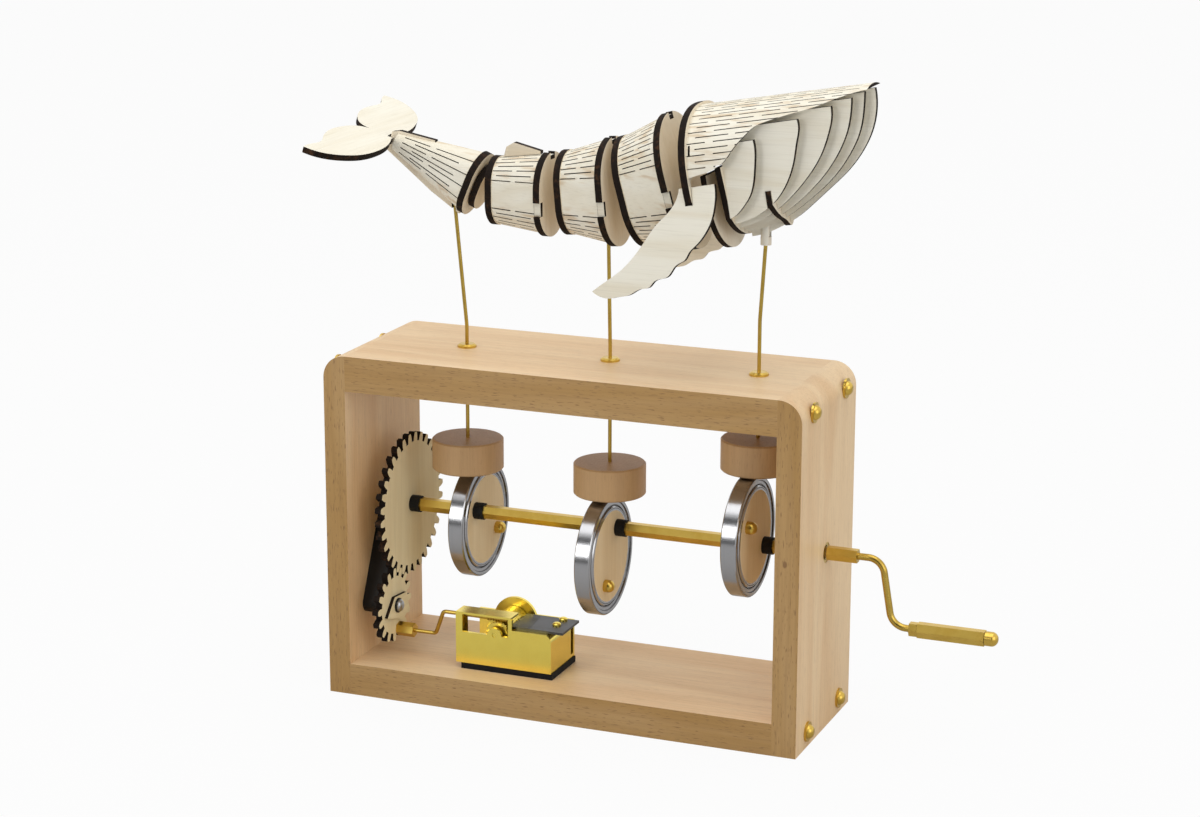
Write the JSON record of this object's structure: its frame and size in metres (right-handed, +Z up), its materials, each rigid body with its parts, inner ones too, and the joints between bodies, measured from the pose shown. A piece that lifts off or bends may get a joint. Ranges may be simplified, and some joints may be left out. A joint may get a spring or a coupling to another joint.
{
  "type": "wooden crank automaton",
  "caption": "Wooden crank automaton: a hand crank turns a camshaft in an open box, whose rods lift a segmented whale while a pinion drives a music movement.",
  "frame": {"origin": "centre of the underside of the wooden box", "axes": "+X along the camshaft towards the hand crank, +Y to the back, +Z up"},
  "size_m": [0.3069, 0.1128, 0.2807],
  "materials": {
    "beech": "clear satin, straight grain",
    "brass": "polished",
    "black_metal": "matt black",
    "steel": "plated",
    "black_pad": "matt",
    "gold": "gold plated",
    "comb_steel": "ground",
    "gold_bright": "gold plated, bright",
    "brass_shaft": "drawn hexagon bar",
    "disc_wood": "sanded, burnt edge",
    "bearing_steel": "ground and polished",
    "black_rubber": "matt",
    "gear_ply": "laser cut plywood",
    "brass_wire": "drawn wire",
    "cylinder_brass": "turned",
    "follower_wood": "turned and sanded",
    "whale_skin": "laser cut birch plywood",
    "whale_frame": "laser cut birch plywood, burnt edges",
    "whale_fin": "laser cut birch plywood",
    "cream_socket": "turned, pale"
  },
  "bodies": {
    "box": {"left_panel": "beech", "right_panel": "beech", "top_board": "beech", "bottom_board": "beech", "panel_screws": "brass", "panel_washers": "brass", "rod_bushes": "brass", "shaft_bushes": "brass", "gear_bracket": "black_metal", "pinion_axle_screw": "steel", "pinion_washer": "black_metal", "movement_pad": "black_pad", "movement_frame": "gold", "movement_comb": "comb_steel", "comb_screws": "gold_bright"},
    "camshaft": {"hex_shaft": "brass_shaft", "cam_discs": "disc_wood", "bearing_inner_rings": "bearing_steel", "cam_clamp_bolts": "brass", "shaft_sleeves": "black_rubber", "drive_gear": "gear_ply", "crank_coupling": "brass_shaft", "crank_arm": "brass_wire", "handle_nuts": "brass"},
    "bearing_ring_1": {"bearing_outer_1": "bearing_steel"},
    "bearing_ring_2": {"bearing_outer_2": "bearing_steel"},
    "bearing_ring_3": {"bearing_outer_3": "bearing_steel"},
    "grip": {"handle_grip": "brass_shaft"},
    "pinion": {"pinion_gear": "gear_ply", "pinion_plate": "gear_ply", "pinion_knob": "brass_shaft", "movement_crank": "brass_wire"},
    "music_cylinder": {"movement_cylinder": "cylinder_brass", "cylinder_wheels": "cylinder_brass"},
    "link_1": {"cam_dowel_1": "disc_wood"},
    "link_2": {"cam_dowel_2": "disc_wood"},
    "link_3": {"cam_dowel_3": "disc_wood"},
    "link_4": {"cam_dowel_4": "disc_wood"},
    "link_5": {"cam_dowel_5": "disc_wood"},
    "tail": {"push_rod_1": "brass_wire", "follower_1": "follower_wood", "tail_skin": "whale_skin", "tail_frames": "whale_frame", "tail_fluke": "whale_fin"},
    "rear_segment": {"segment_skin_1": "whale_skin", "segment_frames_1": "whale_frame", "dorsal_fin": "whale_fin"},
    "middle_segment": {"push_rod_2": "brass_wire", "follower_2": "follower_wood", "segment_skin_2": "whale_skin", "segment_frames_2": "whale_frame"},
    "front_segment": {"segment_skin_3": "whale_skin", "segment_frames_3": "whale_frame"},
    "head": {"push_rod_3": "brass_wire", "follower_3": "follower_wood", "head_socket": "cream_socket", "head_skin": "whale_skin", "throat_plates": "whale_frame", "head_frames": "whale_frame", "pectoral_fins": "whale_fin"}
  },
  "joints": [
    {"name": "crank_turn", "type": "hinge", "parent": "box", "child": "camshaft", "pos_m": [0, 0, 0.08], "axis": [1, 0, 0], "continuous": true},
    {"name": "link_1_turn", "type": "hinge", "parent": "camshaft", "child": "link_1", "pos_m": [-0.0575, 0.00551, 0.07656], "axis": [1, 0, 0], "continuous": true},
    {"name": "tail_heave", "type": "hinge", "parent": "link_1", "child": "tail", "pos_m": [-0.0575, 0, 0.07311], "axis": [1, 0, 0], "continuous": true},
    {"name": "link_2_turn", "type": "hinge", "parent": "camshaft", "child": "link_2", "pos_m": [0.01, -0.00344, 0.07449], "axis": [1, 0, 0], "continuous": true},
    {"name": "middle_segment_heave", "type": "hinge", "parent": "link_2", "child": "middle_segment", "pos_m": [0.01, 0, 0.06897], "axis": [1, 0, 0], "continuous": true},
    {"name": "link_3_turn", "type": "hinge", "parent": "camshaft", "child": "link_3", "pos_m": [0.0775, -0.00551, 0.08344], "axis": [1, 0, 0], "continuous": true},
    {"name": "head_heave", "type": "hinge", "parent": "link_3", "child": "head", "pos_m": [0.0775, 0, 0.08689], "axis": [1, 0, 0], "continuous": true},
    {"name": "link_4_turn", "type": "hinge", "parent": "camshaft", "child": "link_4", "pos_m": [-0.0575, 0.00146, 0.07367], "axis": [1, 0, 0], "continuous": true},
    {"name": "rear_segment_heave", "type": "hinge", "parent": "link_4", "child": "rear_segment", "pos_m": [-0.0575, 0, 0.06733], "axis": [1, 0, 0], "continuous": true},
    {"name": "link_5_turn", "type": "hinge", "parent": "camshaft", "child": "link_5", "pos_m": [0.0775, -0.00633, 0.07854], "axis": [1, 0, 0], "continuous": true},
    {"name": "front_segment_heave", "type": "hinge", "parent": "link_5", "child": "front_segment", "pos_m": [0.0775, 0, 0.07708], "axis": [1, 0, 0], "continuous": true},
    {"name": "bearing_ring_1_turn", "type": "hinge", "parent": "camshaft", "child": "bearing_ring_1", "pos_m": [-0.0575, 0.01103, 0.07311], "axis": [1, 0, 0], "continuous": true},
    {"name": "bearing_ring_2_turn", "type": "hinge", "parent": "camshaft", "child": "bearing_ring_2", "pos_m": [0.01, -0.00689, 0.06897], "axis": [1, 0, 0], "continuous": true},
    {"name": "bearing_ring_3_turn", "type": "hinge", "parent": "camshaft", "child": "bearing_ring_3", "pos_m": [0.0775, -0.01103, 0.08689], "axis": [1, 0, 0], "continuous": true},
    {"name": "grip_turn", "type": "hinge", "parent": "camshaft", "child": "grip", "pos_m": [0.164, 0, 0.0508], "axis": [1, 0, 0], "continuous": true},
    {"name": "pinion_turn", "type": "hinge", "parent": "box", "child": "pinion", "pos_m": [-0.083, -0.01958, 0.03802], "axis": [1, 0, 0], "continuous": true},
    {"name": "cylinder_turn", "type": "hinge", "parent": "box", "child": "music_cylinder", "pos_m": [-0.035, 0, 0.0315], "axis": [0, 1, 0], "continuous": true}
  ],
  "couplings": [
    {"joint": "link_1_turn", "follows": "crank_turn", "ratio": -2},
    {"joint": "tail_heave", "follows": "crank_turn", "ratio": 1},
    {"joint": "link_2_turn", "follows": "crank_turn", "ratio": -2},
    {"joint": "middle_segment_heave", "follows": "crank_turn", "ratio": 1},
    {"joint": "link_3_turn", "follows": "crank_turn", "ratio": -2},
    {"joint": "head_heave", "follows": "crank_turn", "ratio": 1},
    {"joint": "link_4_turn", "follows": "crank_turn", "ratio": -2},
    {"joint": "rear_segment_heave", "follows": "crank_turn", "ratio": 1},
    {"joint": "link_5_turn", "follows": "crank_turn", "ratio": -2},
    {"joint": "front_segment_heave", "follows": "crank_turn", "ratio": 1},
    {"joint": "pinion_turn", "follows": "crank_turn", "ratio": -2},
    {"joint": "cylinder_turn", "follows": "crank_turn", "ratio": 0.08}
  ]
}
